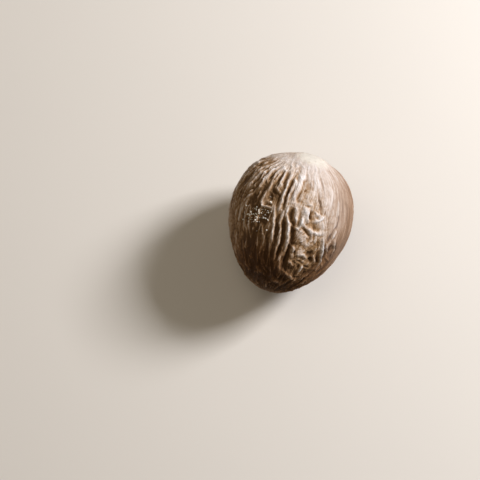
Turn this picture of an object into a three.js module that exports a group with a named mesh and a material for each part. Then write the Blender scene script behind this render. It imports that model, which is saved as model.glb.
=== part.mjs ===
// A whole dried nutmeg kernel, lying on its side.
// The long axis runs along Y, with the seed scar at the +Y end, and Z is up.
// The skin is one closed surface of rings about the scar. Its wrinkles run from the scar to the far tip.
// They are deep and crossed in some parts and faint in others, and the longest ridges and furrows are set
// one by one.
import * as THREE from "three";

const { degToRad, radToDeg, euclideanModulo, smoothstep, clamp, lerp } = THREE.MathUtils;

// Driving sizes, in millimetres
const LENGTH = 24.4;
const WIDTH = 20.2;
const HEIGHT = 19.8;
const REST_CUT = 0.4; // how deep the small flat spot under it is cut
const SWELLING = 0.3; // how far the low, broad lumps stand out
const WRINKLE_HEIGHT = 0.3;
const CRINKLE_DEPTH = 0.24; // of the short, crossed creases
const SCAR_HEIGHT = 0.22; // how far the scar stands out

// The egg form and the scar
const SCAR_END_WIDENING = 0.15; // share of the width added at the scar end and taken off at the far end
const SCAR_RISE = degToRad(20); // the wrinkles meet this far above the long axis
const SCAR_MIDDLE = [62, 12]; // degrees about and from where the wrinkles meet
const SCAR_EDGE = [degToRad(13), degToRad(21)]; // it slopes off between these angles from its middle

// Where the wrinkles fade, in radians: from none to all of them near the scar, and close to the far tip
const SMOOTH_SCAR_END = [0.3, 0.8];
const SMOOTH_FAR_END = 0.3;

// The run of the wrinkles
const MEANDER = 0.035; // how far a wrinkle wanders sideways, in radians
const WANDER_LIMITS = [0.2, 3]; // the least and most of that, as shares
const NARROWEST = 0.25; // a ring shorter than this share of the waist adds no more wandering
const WRINKLE_DRAW_OUT = 0.24; // how much less a step along the grain counts than one across it
const DEPTH_MIDDLE = 0.9; // the wrinkles' usual depth, how far it varies and its limits, as shares
const DEPTH_RANGE = 0.3;
const DEPTH_LIMITS = [0.12, 1.8];
const DEPTH_CONTRAST = 1.5;

// The cross-section of the wrinkles: 0 is a rounded lump between grooves, 0.5 a fold, 1 a ridge
const USUAL_EDGE = 0.2;
const LUMP_SHARPNESS = 1.4;
const CREASE_SHARPNESS = 1.6;
const CREASE_POWER = 1.5;

// How near a long ridge the others are lower, in millimetres, and by which shares
const CALM_REACH = 0.9;
const CALM_WRINKLES = 0.75;
const CALM_CREASES = 0.6;

// How bluntly a long ridge ends, and how much of its length is left out at each end for that
const ENDS_POWER = 0.4;
const ENDS_SHARE = 0.02;

// The fields that shape the skin: where their draws start, their radians of wave for each radian on the
// skin, and how many waves they sum. The waves' own rates vary by RATE_SHARES.
const FIELDS = {
  swelling: { seed: 11, rate: 2.2, waves: 14 },
  meanderAround: { seed: 23, rate: 9, waves: 14 },
  meanderAlong: { seed: 37, rate: 9, waves: 14 },
  patches: { seed: 41, rate: 3.5, waves: 14 },
  wrinkles: { seed: 57, rate: 24, waves: 30 },
  creases: { seed: 67, rate: 26, waves: 30 },
};
const RATE_SHARES = [0.6, 1.4];

// How finely the skin is divided
const RINGS = 56;
const RING_POINTS = 128;
const FEWEST_POINTS = 8;
const CROWDING = 0.12; // the points of a ring crowd towards its top by this share
const RING_HALVING = 0.95; // a ring this share of the waist, or shorter, has fewer points

// Parts of the skin where the wrinkles differ, each by its middle and how far it fades out, in degrees
// about and from the scar, and by what it adds to their depth, wandering, crossed creases and cross-section.
const ZONES = [
  { middle: [94, 78], reach: [8, 40], depth: 0.2, wander: -0.85, crinkle: 0, edge: 0.8 },
  { middle: [65, 82], reach: [15, 22], depth: 0.7, wander: 1.2, crinkle: 1, edge: -0.5 },
  { middle: [22, 63], reach: [28, 36], depth: -0.4, wander: -0.85, crinkle: -0.4, edge: -0.2 },
  { middle: [120, 38], reach: [22, 16], depth: 0, wander: -0.4, crinkle: 0, edge: 0 },
  { middle: [54, 104], reach: [18, 12], depth: 0.5, wander: 0.8, crinkle: 0.5, edge: 0.6 },
  { middle: [72, 137], reach: [45, 20], depth: 0.3, wander: 0.9, crinkle: 0.4, edge: 0.9 },
  { middle: [131, 60], reach: [20, 28], depth: 0.35, wander: -0.5, crinkle: 0.1, edge: 0.8 },
  { middle: [132, 106], reach: [28, 28], depth: -0.2, wander: -0.3, crinkle: 0, edge: 0.9 },
  { middle: [345, 85], reach: [26, 50], depth: 0, wander: -0.3, crinkle: 0, edge: 0 },
  { middle: [215, 100], reach: [30, 40], depth: 0.5, wander: 0.8, crinkle: 0.5, edge: 0 },
  { middle: [310, 90], reach: [30, 40], depth: 0.5, wander: 0.6, crinkle: 0.3, edge: 0.2 },
];

// The long ridges, and the furrows, whose rise is below 0, in millimetres. Each runs along a path, given
// in degrees about and from the scar.
const STROKES = [
  {
    rise: 0.33,
    width: 0.52,
    path: [[102, 36], [100, 45], [100.5, 54.5], [100.5, 62.5], [99.5, 69.5], [99.5, 75.5]],
  },
  { rise: 0.33, width: 0.58, path: [[85, 35], [86.5, 48.5], [87, 54.5], [88.5, 60.5], [88.5, 69.5]] },
  { rise: 0.25, width: 0.46, path: [[93, 41.5], [92.5, 49.5], [94, 60], [93.5, 66], [93.5, 72]] },
  { rise: 0.21, width: 0.46, path: [[109.5, 39], [108.5, 46.5], [108.5, 51], [107.5, 56]] },
  { rise: 0.18, width: 0.46, path: [[116, 35.5], [118.5, 42], [120, 46.5], [120, 51]] },
  {
    rise: 0.2,
    width: 0.46,
    path: [[119.5, 53], [118, 59], [120, 65], [119.5, 73.5], [117.5, 75.5], [109, 74.5]],
  },
  {
    rise: 0.27,
    width: 0.46,
    path: [
      [92.5, 70], [94.5, 78.5], [94.5, 83], [92, 90], [90.5, 92.5], [90, 97.5], [91, 103],
      [91, 113],
    ],
  },
  {
    rise: 0.29,
    width: 0.46,
    path: [
      [90.5, 69.5], [90.5, 75.5], [88, 79.5], [85, 83.5], [84, 89.5], [82, 92.5], [81.5, 99.5],
      [81, 107.5],
    ],
  },
  { rise: 0.21, width: 0.46, path: [[102.5, 75.5], [102, 82.5], [100, 86.5], [98.5, 94], [99, 99.5]] },
  { rise: 0.21, width: 0.46, path: [[86.5, 108.5], [83, 115.5], [79, 124.5]] },
  { rise: 0.22, width: 0.46, path: [[68, 82], [60.5, 84.5], [55, 85], [48, 83.5]] },
  { rise: 0.29, width: 0.5, path: [[73, 66.5], [70, 75]] },
  { rise: 0.22, width: 0.46, path: [[83.5, 68], [81, 73.5]] },
  { rise: 0.23, width: 0.46, path: [[81.5, 75.5], [80, 80]] },
  { rise: 0.26, width: 0.46, path: [[75.5, 75], [72.5, 81.5]] },
  { rise: 0.18, width: 0.46, path: [[62, 76.5], [57.5, 75], [54.5, 72]] },
  { rise: 0.16, width: 0.46, path: [[80.5, 119.5], [76.5, 122], [64.5, 126.5], [52.5, 130]] },
  { rise: -0.27, width: 0.46, path: [[96.5, 39], [97, 51], [97, 59], [97, 64], [96.5, 72]] },
  {
    rise: -0.33,
    width: 0.46,
    path: [[106.5, 38.5], [103.5, 49.5], [102.5, 56.5], [103.5, 64.5], [103.5, 70.5]],
  },
  { rise: -0.27, width: 0.72, path: [[114.5, 59.5], [111.5, 64.5], [114, 70]] },
  { rise: -0.15, width: 0.46, path: [[78.5, 41], [82, 47], [83, 52.5]] },
  { rise: -0.24, width: 0.46, path: [[83.5, 54.5], [84, 59.5], [85, 63], [80, 64]] },
  { rise: -0.4, width: 0.46, path: [[91.5, 79.5], [90, 87.5], [88, 94.5], [87.5, 101.5], [88, 108.5]] },
  {
    rise: -0.4,
    width: 0.5,
    path: [
      [88, 71.5], [85, 77], [81.5, 82.5], [79, 89], [77, 96], [77.5, 103.5], [77, 112.5],
      [75, 121.5],
    ],
  },
  { rise: -0.17, width: 0.46, path: [[78.5, 70.5], [76.5, 77.5], [76, 82.5]] },
  { rise: -0.2, width: 0.46, path: [[68, 67], [66, 76]] },
  { rise: -0.22, width: 0.46, path: [[73, 81.5], [66, 85.5], [61, 88], [61, 90], [62, 94]] },
  { rise: -0.22, width: 0.46, path: [[64, 77.5], [60, 81], [56, 83]] },
  { rise: -0.4, width: 0.5, path: [[58.5, 101.5], [54.5, 102], [51, 100.5]] },
  { rise: -0.36, width: 0.46, path: [[51.5, 105], [48.5, 109]] },
  { rise: -0.21, width: 0.46, path: [[69, 78], [68.5, 80]] },
  { rise: -0.23, width: 0.46, path: [[78.5, 52.5], [77.5, 54]] },
  { rise: -0.33, width: 0.46, path: [[99.5, 76.5], [98, 84], [95.5, 91], [95, 99]] },
  {
    rise: 0.22,
    width: 0.46,
    path: [
      [123, 34.5], [125, 38.5], [127, 43], [129.5, 47], [129.5, 52], [130, 56], [130.5, 60.5],
      [131, 64],
    ],
  },
  {
    rise: 0.2,
    width: 0.46,
    path: [[132, 36], [134.5, 42], [135.5, 47.5], [135.5, 51.5], [135, 55.5], [135, 59.5]],
  },
  { rise: 0.2, width: 0.46, path: [[142, 49.5], [141.5, 54.5], [143.5, 58.5], [144, 62], [145.5, 66]] },
  { rise: 0.19, width: 0.46, path: [[137.5, 59], [137, 63.5], [137.5, 67.5], [140, 71]] },
  { rise: -0.23, width: 0.46, path: [[113.5, 40.5], [113.5, 47], [113.5, 50.5], [113.5, 55]] },
  { rise: -0.22, width: 0.46, path: [[139.5, 60.5], [143.5, 64]] },
  { rise: -0.22, width: 0.46, path: [[135.5, 64], [139, 66.5], [141.5, 69.5]] },
  {
    rise: -0.22,
    width: 0.46,
    path: [[62, 53.5], [61.5, 56], [60.5, 58], [59, 61], [57.5, 64.5], [57, 68], [56.5, 70]],
  },
  {
    rise: 0.21,
    width: 0.46,
    path: [[47, 87.5], [45, 92], [44, 96], [41.5, 100.5], [39, 105.5], [37.5, 109.5], [35.5, 115.5]],
  },
  {
    rise: 0.2,
    width: 0.46,
    path: [[34.5, 81.5], [36, 85], [38, 89], [38.5, 91.5], [38.5, 95], [35.5, 98], [35, 101]],
  },
  { rise: -0.21, width: 0.46, path: [[45.5, 101], [44.5, 104.5], [39.5, 108]] },
  { rise: -0.24, width: 0.46, path: [[33, 92.5], [32.5, 96.5], [32.5, 99]] },
  { rise: -0.2, width: 0.46, path: [[34, 86], [32.5, 88]] },
  { rise: -0.21, width: 0.46, path: [[26.5, 91.5], [22, 96.5], [21, 100]] },
  { rise: -0.21, width: 0.46, path: [[51, 105], [48, 108.5]] },
  { rise: -0.26, width: 0.46, path: [[79.5, 98], [78, 103.5], [77, 108.5], [78, 113.5], [78.5, 119]] },
  { rise: -0.2, width: 0.46, path: [[88.5, 103], [88.5, 107.5], [89, 110.5]] },
  { rise: -0.2, width: 0.46, path: [[59.5, 112.5], [59, 117]] },
];

// Repeatable draws of numbers from 0 to 1, by a product and its remainder.
const DRAW_FACTOR = 16807;
const DRAW_ROUND = 2147483647;
function drawFrom(seed) {
  let state = seed;
  return () => {
    state = (state * DRAW_FACTOR) % DRAW_ROUND;
    return state / DRAW_ROUND;
  };
}

// A smooth field over space, mostly from -1 to 1: a sum of waves in drawn directions.
function waveField({ seed, rate, waves }) {
  const draw = drawFrom(seed);
  const list = Array.from({ length: waves }, () => {
    const height = lerp(-1, 1, draw());
    const turn = 2 * Math.PI * draw();
    const side = Math.sqrt(1 - height * height);
    const strength = rate * lerp(...RATE_SHARES, draw());
    const direction = new THREE.Vector3(side * Math.cos(turn), side * Math.sin(turn), height);
    return { direction: direction.multiplyScalar(strength), phase: 2 * Math.PI * draw() };
  });
  const scale = Math.sqrt(2 / waves);
  return (point) => {
    const heights = list.map(({ direction, phase }) => Math.sin(direction.dot(point) + phase));
    return scale * heights.reduce((sum, height) => sum + height, 0);
  };
}

const fields = {};
for (const [name, values] of Object.entries(FIELDS)) fields[name] = waveField(values);

// The axis that the wrinkles run along, through the scar, and the two directions across it.
const scarAxis = new THREE.Vector3(0, Math.cos(SCAR_RISE), Math.sin(SCAR_RISE));
const acrossRight = new THREE.Vector3(1, 0, 0);
const acrossUp = new THREE.Vector3().crossVectors(acrossRight, scarAxis);

// The direction from the middle of the kernel at an angle from the scar and one about it.
function directionAt(along, around) {
  return new THREE.Vector3()
    .addScaledVector(scarAxis, Math.cos(along))
    .addScaledVector(acrossRight, Math.sin(along) * Math.cos(around))
    .addScaledVector(acrossUp, Math.sin(along) * Math.sin(around));
}

const scarDirection = directionAt(degToRad(SCAR_MIDDLE[1]), degToRad(SCAR_MIDDLE[0]));

// The point of the smooth kernel in a direction, in millimetres from its middle.
function basePoint(direction) {
  const girth = 1 + SCAR_END_WIDENING * direction.y;
  return new THREE.Vector3(
    (WIDTH / 2) * girth * direction.x,
    (LENGTH / 2) * direction.y,
    (HEIGHT / 2) * girth * direction.z,
  );
}

// The sum over the zones of one of the things that they add, at these angles.
function zoneTotal(name, along, around) {
  return ZONES.reduce((sum, zone) => {
    const turn = euclideanModulo(radToDeg(around) - zone.middle[0] + 180, 360) - 180;
    const sideways = (turn * Math.sin(along)) / zone.reach[0];
    const lengthways = (radToDeg(along) - zone.middle[1]) / zone.reach[1];
    return sum + zone[name] * Math.exp(-(sideways ** 2 + lengthways ** 2) / 2);
  }, 0);
}

// The paths of the long ridges and furrows over the smooth kernel, in pieces, each with where it starts.
const strokePaths = STROKES.map(({ rise, width, path }) => {
  const points = path.map(([around, along]) => basePoint(directionAt(degToRad(along), degToRad(around))));
  let length = 0;
  const pieces = points.slice(1).map((end, i) => {
    const piece = { line: new THREE.Line3(points[i], end), start: length };
    length += piece.line.distance();
    return piece;
  });
  return { rise, width, pieces, length };
});

// The height of the long ridges and furrows at a point of the smooth kernel, and how near one is: 0 to 1.
function strokesAt(point) {
  const closest = new THREE.Vector3();
  let height = 0;
  let near = 0;
  for (const { rise, width, pieces, length } of strokePaths) {
    let best = Infinity;
    let share = 0;
    for (const { line, start } of pieces) {
      const t = line.closestPointToPointParameter(point, true);
      const away = line.at(t, closest).distanceTo(point);
      if (away < best) {
        best = away;
        share = (start + t * line.distance()) / length;
      }
    }
    const taper = Math.sin(Math.PI * clamp(share, ENDS_SHARE, 1 - ENDS_SHARE)) ** ENDS_POWER;
    height += rise * taper * Math.exp(-((best / width) ** 2));
    near = Math.max(near, Math.exp(-((best / CALM_REACH) ** 2)));
  }
  return { height, near };
}

// The height of the wrinkles and creases over the smooth kernel, in millimetres.
function wrinklesAt(direction, along, around, near) {
  const wander = MEANDER * clamp(1 + zoneTotal("wander", along, around), ...WANDER_LIMITS);
  const x = around + (wander * fields.meanderAround(direction)) / Math.max(Math.sin(along), NARROWEST);
  const y = Math.log(Math.tan(along / 2)) + wander * fields.meanderAlong(direction);
  const patchy = DEPTH_MIDDLE + DEPTH_RANGE * Math.tanh(DEPTH_CONTRAST * fields.patches(direction));
  const depth = clamp(patchy + zoneTotal("depth", along, around), ...DEPTH_LIMITS);
  const edge = clamp(USUAL_EDGE + zoneTotal("edge", along, around), 0, 1);
  const place = new THREE.Vector3(Math.cos(x), Math.sin(x), WRINKLE_DRAW_OUT * y);
  const wave = Math.tanh(LUMP_SHARPNESS * fields.wrinkles(place));
  const folds = 0.5 + wave / 2;
  const lumps = wave * wave;
  const shape = edge < 0.5 ? lerp(lumps, folds, 2 * edge) : lerp(folds, 1 - lumps, 2 * edge - 1);
  const crinkle = clamp(zoneTotal("crinkle", along, around), 0, 1);
  const crease = (1 - Math.tanh(CREASE_SHARPNESS * Math.abs(fields.creases(direction)))) ** CREASE_POWER;
  return (
    WRINKLE_HEIGHT * depth * (1 - CALM_WRINKLES * near) * (shape - 0.5) -
    CRINKLE_DEPTH * crinkle * (1 - CALM_CREASES * near) * crease
  );
}

// A point of the skin, in millimetres from the middle of the kernel.
function skinPoint(along, around) {
  const direction = directionAt(along, around);
  const base = basePoint(direction);
  const sizes = new THREE.Vector3(WIDTH, LENGTH, HEIGHT);
  const outwards = direction.clone().divide(sizes).normalize();
  const fade = smoothstep(along, ...SMOOTH_SCAR_END) * smoothstep(Math.PI - along, 0, SMOOTH_FAR_END);
  const scar = 1 - smoothstep(direction.angleTo(scarDirection), ...SCAR_EDGE);
  let rise = SWELLING * fields.swelling(direction) + SCAR_HEIGHT * scar;
  if (fade > 0) {
    const { height, near } = strokesAt(base);
    rise += fade * (height + wrinklesAt(direction, along, around, near));
  }
  return base.addScaledVector(outwards, rise);
}

// How many points a ring has: half as many each time the ring is half as long.
function ringPoints(along) {
  const halvings = Math.max(0, Math.floor(Math.log2(RING_HALVING / Math.sin(along))));
  return Math.max(FEWEST_POINTS, RING_POINTS / 2 ** halvings);
}

// The angle about the scar of a place on a ring, counted in its points.
function ringAngle(place, count) {
  const turn = (2 * Math.PI * place) / count;
  return turn + CROWDING * Math.cos(turn);
}

// The closed skin: two tips, the rings between them, and strips of triangles that join each ring to the
// next. A patch of two triangles is split along the way that lies closer to the skin at its middle.
function skinGeometry() {
  const points = [skinPoint(0, 0)];
  const rings = [];
  for (let i = 1; i < RINGS; i += 1) {
    const along = (Math.PI * i) / RINGS;
    const count = ringPoints(along);
    rings.push({ along, start: points.length, count });
    for (let k = 0; k < count; k += 1) points.push(skinPoint(along, ringAngle(k, count)));
  }
  points.push(skinPoint(Math.PI, 0));

  const faces = [];
  const at = (ring, k) => ring.start + (k % ring.count);
  const joinToTip = (tip, ring, first, second) => {
    for (let k = 0; k < ring.count; k += 1) faces.push(tip, at(ring, k + first), at(ring, k + second));
  };
  joinToTip(0, rings[0], 1, 0);
  joinToTip(points.length - 1, rings[rings.length - 1], 0, 1);
  for (let i = 0; i + 1 < rings.length; i += 1) {
    const [upper, lower] = [rings[i], rings[i + 1]];
    const steps = Math.min(upper.count, lower.count);
    const upperRate = upper.count / steps;
    const lowerRate = lower.count / steps;
    for (let k = 0; k < steps; k += 1) {
      const [a, nextA] = [at(upper, upperRate * k), at(upper, upperRate * k + 1)];
      const [b, nextB] = [at(lower, lowerRate * k), at(lower, lowerRate * k + 1)];
      const middle = skinPoint((upper.along + lower.along) / 2, ringAngle(k + 0.5, steps));
      const missed = (p, q) => points[p].clone().lerp(points[q], 0.5).distanceTo(middle);
      if (upperRate === lowerRate && missed(nextA, b) < missed(a, nextB)) {
        faces.push(a, nextA, b, nextA, nextB, b);
      } else {
        faces.push(a, nextB, b, a, nextA, nextB);
      }
      if (lowerRate > 1) faces.push(nextA, at(lower, lowerRate * k + 2), nextB);
      if (upperRate > 1) faces.push(nextA, at(upper, upperRate * k + 2), nextB);
    }
  }

  const geometry = new THREE.BufferGeometry().setFromPoints(points);
  geometry.setIndex(faces);
  return geometry;
}

// Flattens the lowest part of the skin, and puts the middle of that side of its box at the origin.
function restOnFlatSpot(geometry) {
  geometry.computeBoundingBox();
  const floor = geometry.boundingBox.min.z + REST_CUT;
  const position = geometry.getAttribute("position");
  for (let i = 0; i < position.count; i += 1) position.setZ(i, Math.max(position.getZ(i), floor));
  geometry.computeBoundingBox();
  const box = geometry.boundingBox;
  geometry.translate(-(box.min.x + box.max.x) / 2, -(box.min.y + box.max.y) / 2, -box.min.z);
  geometry.computeVertexNormals();
  return geometry;
}

const kernelSkin = new THREE.MeshStandardMaterial({ color: "#a88f7c", roughness: 0.72, metalness: 0 });

const nutmeg = new THREE.Mesh(restOnFlatSpot(skinGeometry()), kernelSkin);
nutmeg.name = "nutmeg";

const object = new THREE.Group();
object.add(nutmeg);

export default object;
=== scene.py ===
"""A whole dried nutmeg kernel with a pinch of grated crumbs on it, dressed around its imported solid.

The kernel's skin is one surface of rings about the seed scar. Its wrinkles run from the scar to the far
tip, wander, and split or join, and the same field that lifts the skin also colours it.
"""

from __future__ import annotations

import logging
import math
from dataclasses import dataclass, field
from enum import Enum
from typing import Any, Iterable

import bmesh
import bpy
import numpy as np
from mathutils import Matrix, Vector

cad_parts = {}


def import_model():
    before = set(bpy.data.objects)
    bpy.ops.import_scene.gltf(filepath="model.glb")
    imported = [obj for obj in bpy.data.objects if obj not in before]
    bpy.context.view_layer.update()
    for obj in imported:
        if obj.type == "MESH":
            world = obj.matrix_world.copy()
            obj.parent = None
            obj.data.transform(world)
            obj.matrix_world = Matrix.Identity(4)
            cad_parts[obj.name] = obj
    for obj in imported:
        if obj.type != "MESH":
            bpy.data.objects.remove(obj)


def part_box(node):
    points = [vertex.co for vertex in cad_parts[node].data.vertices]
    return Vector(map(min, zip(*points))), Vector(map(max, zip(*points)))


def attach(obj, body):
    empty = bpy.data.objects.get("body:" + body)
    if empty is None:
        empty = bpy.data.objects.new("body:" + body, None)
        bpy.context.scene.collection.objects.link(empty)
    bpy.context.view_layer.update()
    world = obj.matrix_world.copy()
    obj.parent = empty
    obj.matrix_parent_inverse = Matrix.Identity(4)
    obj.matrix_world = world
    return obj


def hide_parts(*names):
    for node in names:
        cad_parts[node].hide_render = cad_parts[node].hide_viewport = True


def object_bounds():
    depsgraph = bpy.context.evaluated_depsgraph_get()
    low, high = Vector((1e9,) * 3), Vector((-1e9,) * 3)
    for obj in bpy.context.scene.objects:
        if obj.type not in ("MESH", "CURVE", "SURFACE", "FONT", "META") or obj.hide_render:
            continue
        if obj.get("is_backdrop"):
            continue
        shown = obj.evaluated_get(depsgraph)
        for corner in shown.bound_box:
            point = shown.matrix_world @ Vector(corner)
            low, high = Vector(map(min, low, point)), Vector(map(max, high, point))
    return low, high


Array = np.ndarray
Colour = tuple[float, float, float]
Pair = tuple[float, float]
log = logging.getLogger("nutmeg")

MM = 0.001
BODY = "root"
KERNEL_NODE = "nutmeg"
GOLDEN_ANGLE = math.pi * (3 - math.sqrt(5))


class Draws:
    """A repeatable row of numbers from 0 to 1, the same one that the solid's source draws.

    Attributes:
        STEP, ROUND: what a number is multiplied by to get the next, and where it starts again.
        state: the last number, as a whole one.
    """

    STEP, ROUND = 16807, 2147483647

    def __init__(self, seed: int) -> None:
        """Starts the row at a seed."""
        self.state = seed

    def next(self) -> float:
        """Returns the next number."""
        self.state = (self.state * self.STEP) % self.ROUND
        return self.state / self.ROUND

    def between(self, low: float, high: float) -> float:
        """Returns the next number, moved to lie between low and high."""
        return low + (high - low) * self.next()


class WaveField:
    """A smooth field over space, mostly from -1 to 1: a sum of waves in drawn directions.

    Attributes:
        RATES: the smallest and largest share of the field's rate that a wave has.
        directions: each wave's direction, times its rate.
        phases: where each wave starts.
        scale: what the sum is multiplied by.
    """

    RATES = (0.6, 1.4)

    def __init__(self, seed: int, rate: float, waves: int = 14) -> None:
        """Draws the waves.

        Args:
            seed: where the row of draws starts.
            rate: radians of wave for each unit of length.
            waves: how many waves are summed.
        """
        draws = Draws(seed)
        directions, phases = [], []
        for _ in range(waves):
            height = draws.between(-1, 1)
            turn = 2 * math.pi * draws.next()
            side = math.sqrt(1 - height * height)
            strength = rate * draws.between(*self.RATES)
            direction = (side * math.cos(turn), side * math.sin(turn), height)
            directions.append([strength * part for part in direction])
            phases.append(2 * math.pi * draws.next())
        self.directions = np.array(directions)
        self.phases = np.array(phases)
        self.scale = math.sqrt(2 / waves)

    def at(self, points: Array) -> Array:
        """Returns the field's value at each point of an (n, 3) array."""
        return self.scale * np.sin(points @ self.directions.T + self.phases).sum(1)


def stretched(along: Array | float) -> Array:
    """Returns an angle from the scar, drawn out so that shapes keep their form towards the tips."""
    return np.log(np.tan(np.asarray(along) / 2))


def smooth_step(value: Array, low: float, high: float) -> Array:
    """Returns 0 below low, 1 above high, and a smooth rise between them."""
    share = np.clip((value - low) / (high - low), 0, 1)
    return share * share * (3 - 2 * share)


def wound(x: Array, y: Array, draw_out: float) -> Array:
    """Returns points on a cylinder, so that a field over them closes on itself around the kernel."""
    return np.stack([np.cos(x), np.sin(x), draw_out * y], 1)


@dataclass(frozen=True)
class Spots:
    """Directions from the kernel's middle, given in three ways that belong together.

    Attributes:
        direction: unit vectors, an (n, 3) array.
        along: angles from the scar, in radians.
        around: angles about the scar's axis, from the right over the top.
    """

    direction: Array
    along: Array
    around: Array


@dataclass(frozen=True)
class Zone:
    """A part of the skin where the wrinkles differ, fading out from its middle.

    Attributes:
        around, along: its middle, in degrees about and from the scar.
        reach_around, reach_along: how far it fades out each way, in degrees.
        depth: what it adds to the wrinkles' depth, as a share.
        wander: what it adds to the wrinkles' sideways wandering, as a share.
        crinkle: how much fine, crossed creasing it has, as a share.
        edge: how thin and sharp its ridges are, from 0 for rounded lumps to 1.
        fine: how much the fine wrinkles take over from the broad ones, from 0 to 1.
        pale: how much paler its colour is, as a share; below 0 it is painted shade, a deeper, warmer
            brown.
            Above 0 it is partly the kernel's own paler skin, such as below the scar, and partly painted
            light.
        smooth: how much calmer its grain is, with long straight lines, from 0 to 1.
    """

    around: float
    along: float
    reach_around: float
    reach_along: float
    depth: float = 0.0
    wander: float = 0.0
    crinkle: float = 0.0
    edge: float = 0.0
    fine: float = 0.0
    pale: float = 0.0
    smooth: float = 0.0

    def share(self, spots: Spots) -> Array:
        """Works out how much of the zone each spot has.

        Args:
            spots: where on the kernel.

        Returns:
            1 at the zone's middle and less away from it.
        """
        turn = np.remainder(np.degrees(spots.around) - self.around + 180, 360) - 180
        sideways = turn * np.sin(spots.along) / self.reach_around
        lengthways = (np.degrees(spots.along) - self.along) / self.reach_along
        return np.exp(-0.5 * (sideways**2 + lengthways**2))


# The pale values paint light and shade: below 0 a deeper, warmer brown where the kernel lies in shade,
# mostly on the left, the lower side and the far tip; above 0 partly the kernel's own paler skin, such
# as below the scar.
ZONES = (
    Zone(94, 78, 8, 40, depth=0.2, wander=-0.85, edge=0.8, fine=0.6),
    Zone(65, 82, 15, 22, depth=0.7, wander=1.2, crinkle=1.0, edge=-0.5, pale=0.3),
    Zone(22, 63, 28, 36, depth=-0.4, wander=-0.85, crinkle=-0.4, edge=-0.2, fine=0.3,
         pale=0.08, smooth=1.0),
    Zone(108, 30, 24, 13, pale=1.7),
    Zone(50, 36, 26, 16, smooth=0.6),
    Zone(120, 38, 22, 16, wander=-0.4, pale=-0.35),
    Zone(54, 104, 18, 12, depth=0.5, wander=0.8, crinkle=0.5, edge=0.6, pale=0.5),
    Zone(72, 137, 45, 20, depth=0.3, wander=0.9, crinkle=0.4, edge=0.9, pale=-0.1),
    Zone(131, 60, 20, 28, depth=0.35, wander=-0.5, crinkle=0.1, edge=0.8, fine=1.0, pale=0.25),
    Zone(132, 106, 28, 28, depth=-0.2, wander=-0.3, edge=0.9, fine=0.6, smooth=0.5),
    Zone(116, 124, 24, 16, fine=-0.4, pale=-1.2, smooth=0.15),
    Zone(84, 112, 12, 12, pale=-0.4),
    Zone(133, 52, 17, 24, pale=-0.32),
    Zone(345, 85, 28, 50, wander=-0.3, pale=-1.35, smooth=0.6),
    Zone(38, 94, 12, 12, pale=-0.25),
    Zone(20, 112, 22, 20, pale=-0.9),
    Zone(215, 100, 30, 40, depth=0.5, wander=0.8, crinkle=0.5, pale=-0.3),
    Zone(310, 90, 30, 40, depth=0.5, wander=0.6, crinkle=0.3, edge=0.2),
)


@dataclass(frozen=True)
class Stroke:
    """One long ridge or furrow, along a path over the skin.

    Attributes:
        rise: how far it stands out, in millimetres; a furrow's is below 0.
        width: how far from its middle it falls to about a third, in millimetres.
        path: its points, in degrees about and from the scar.
    """

    rise: float
    width: float
    path: tuple[Pair, ...]


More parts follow.
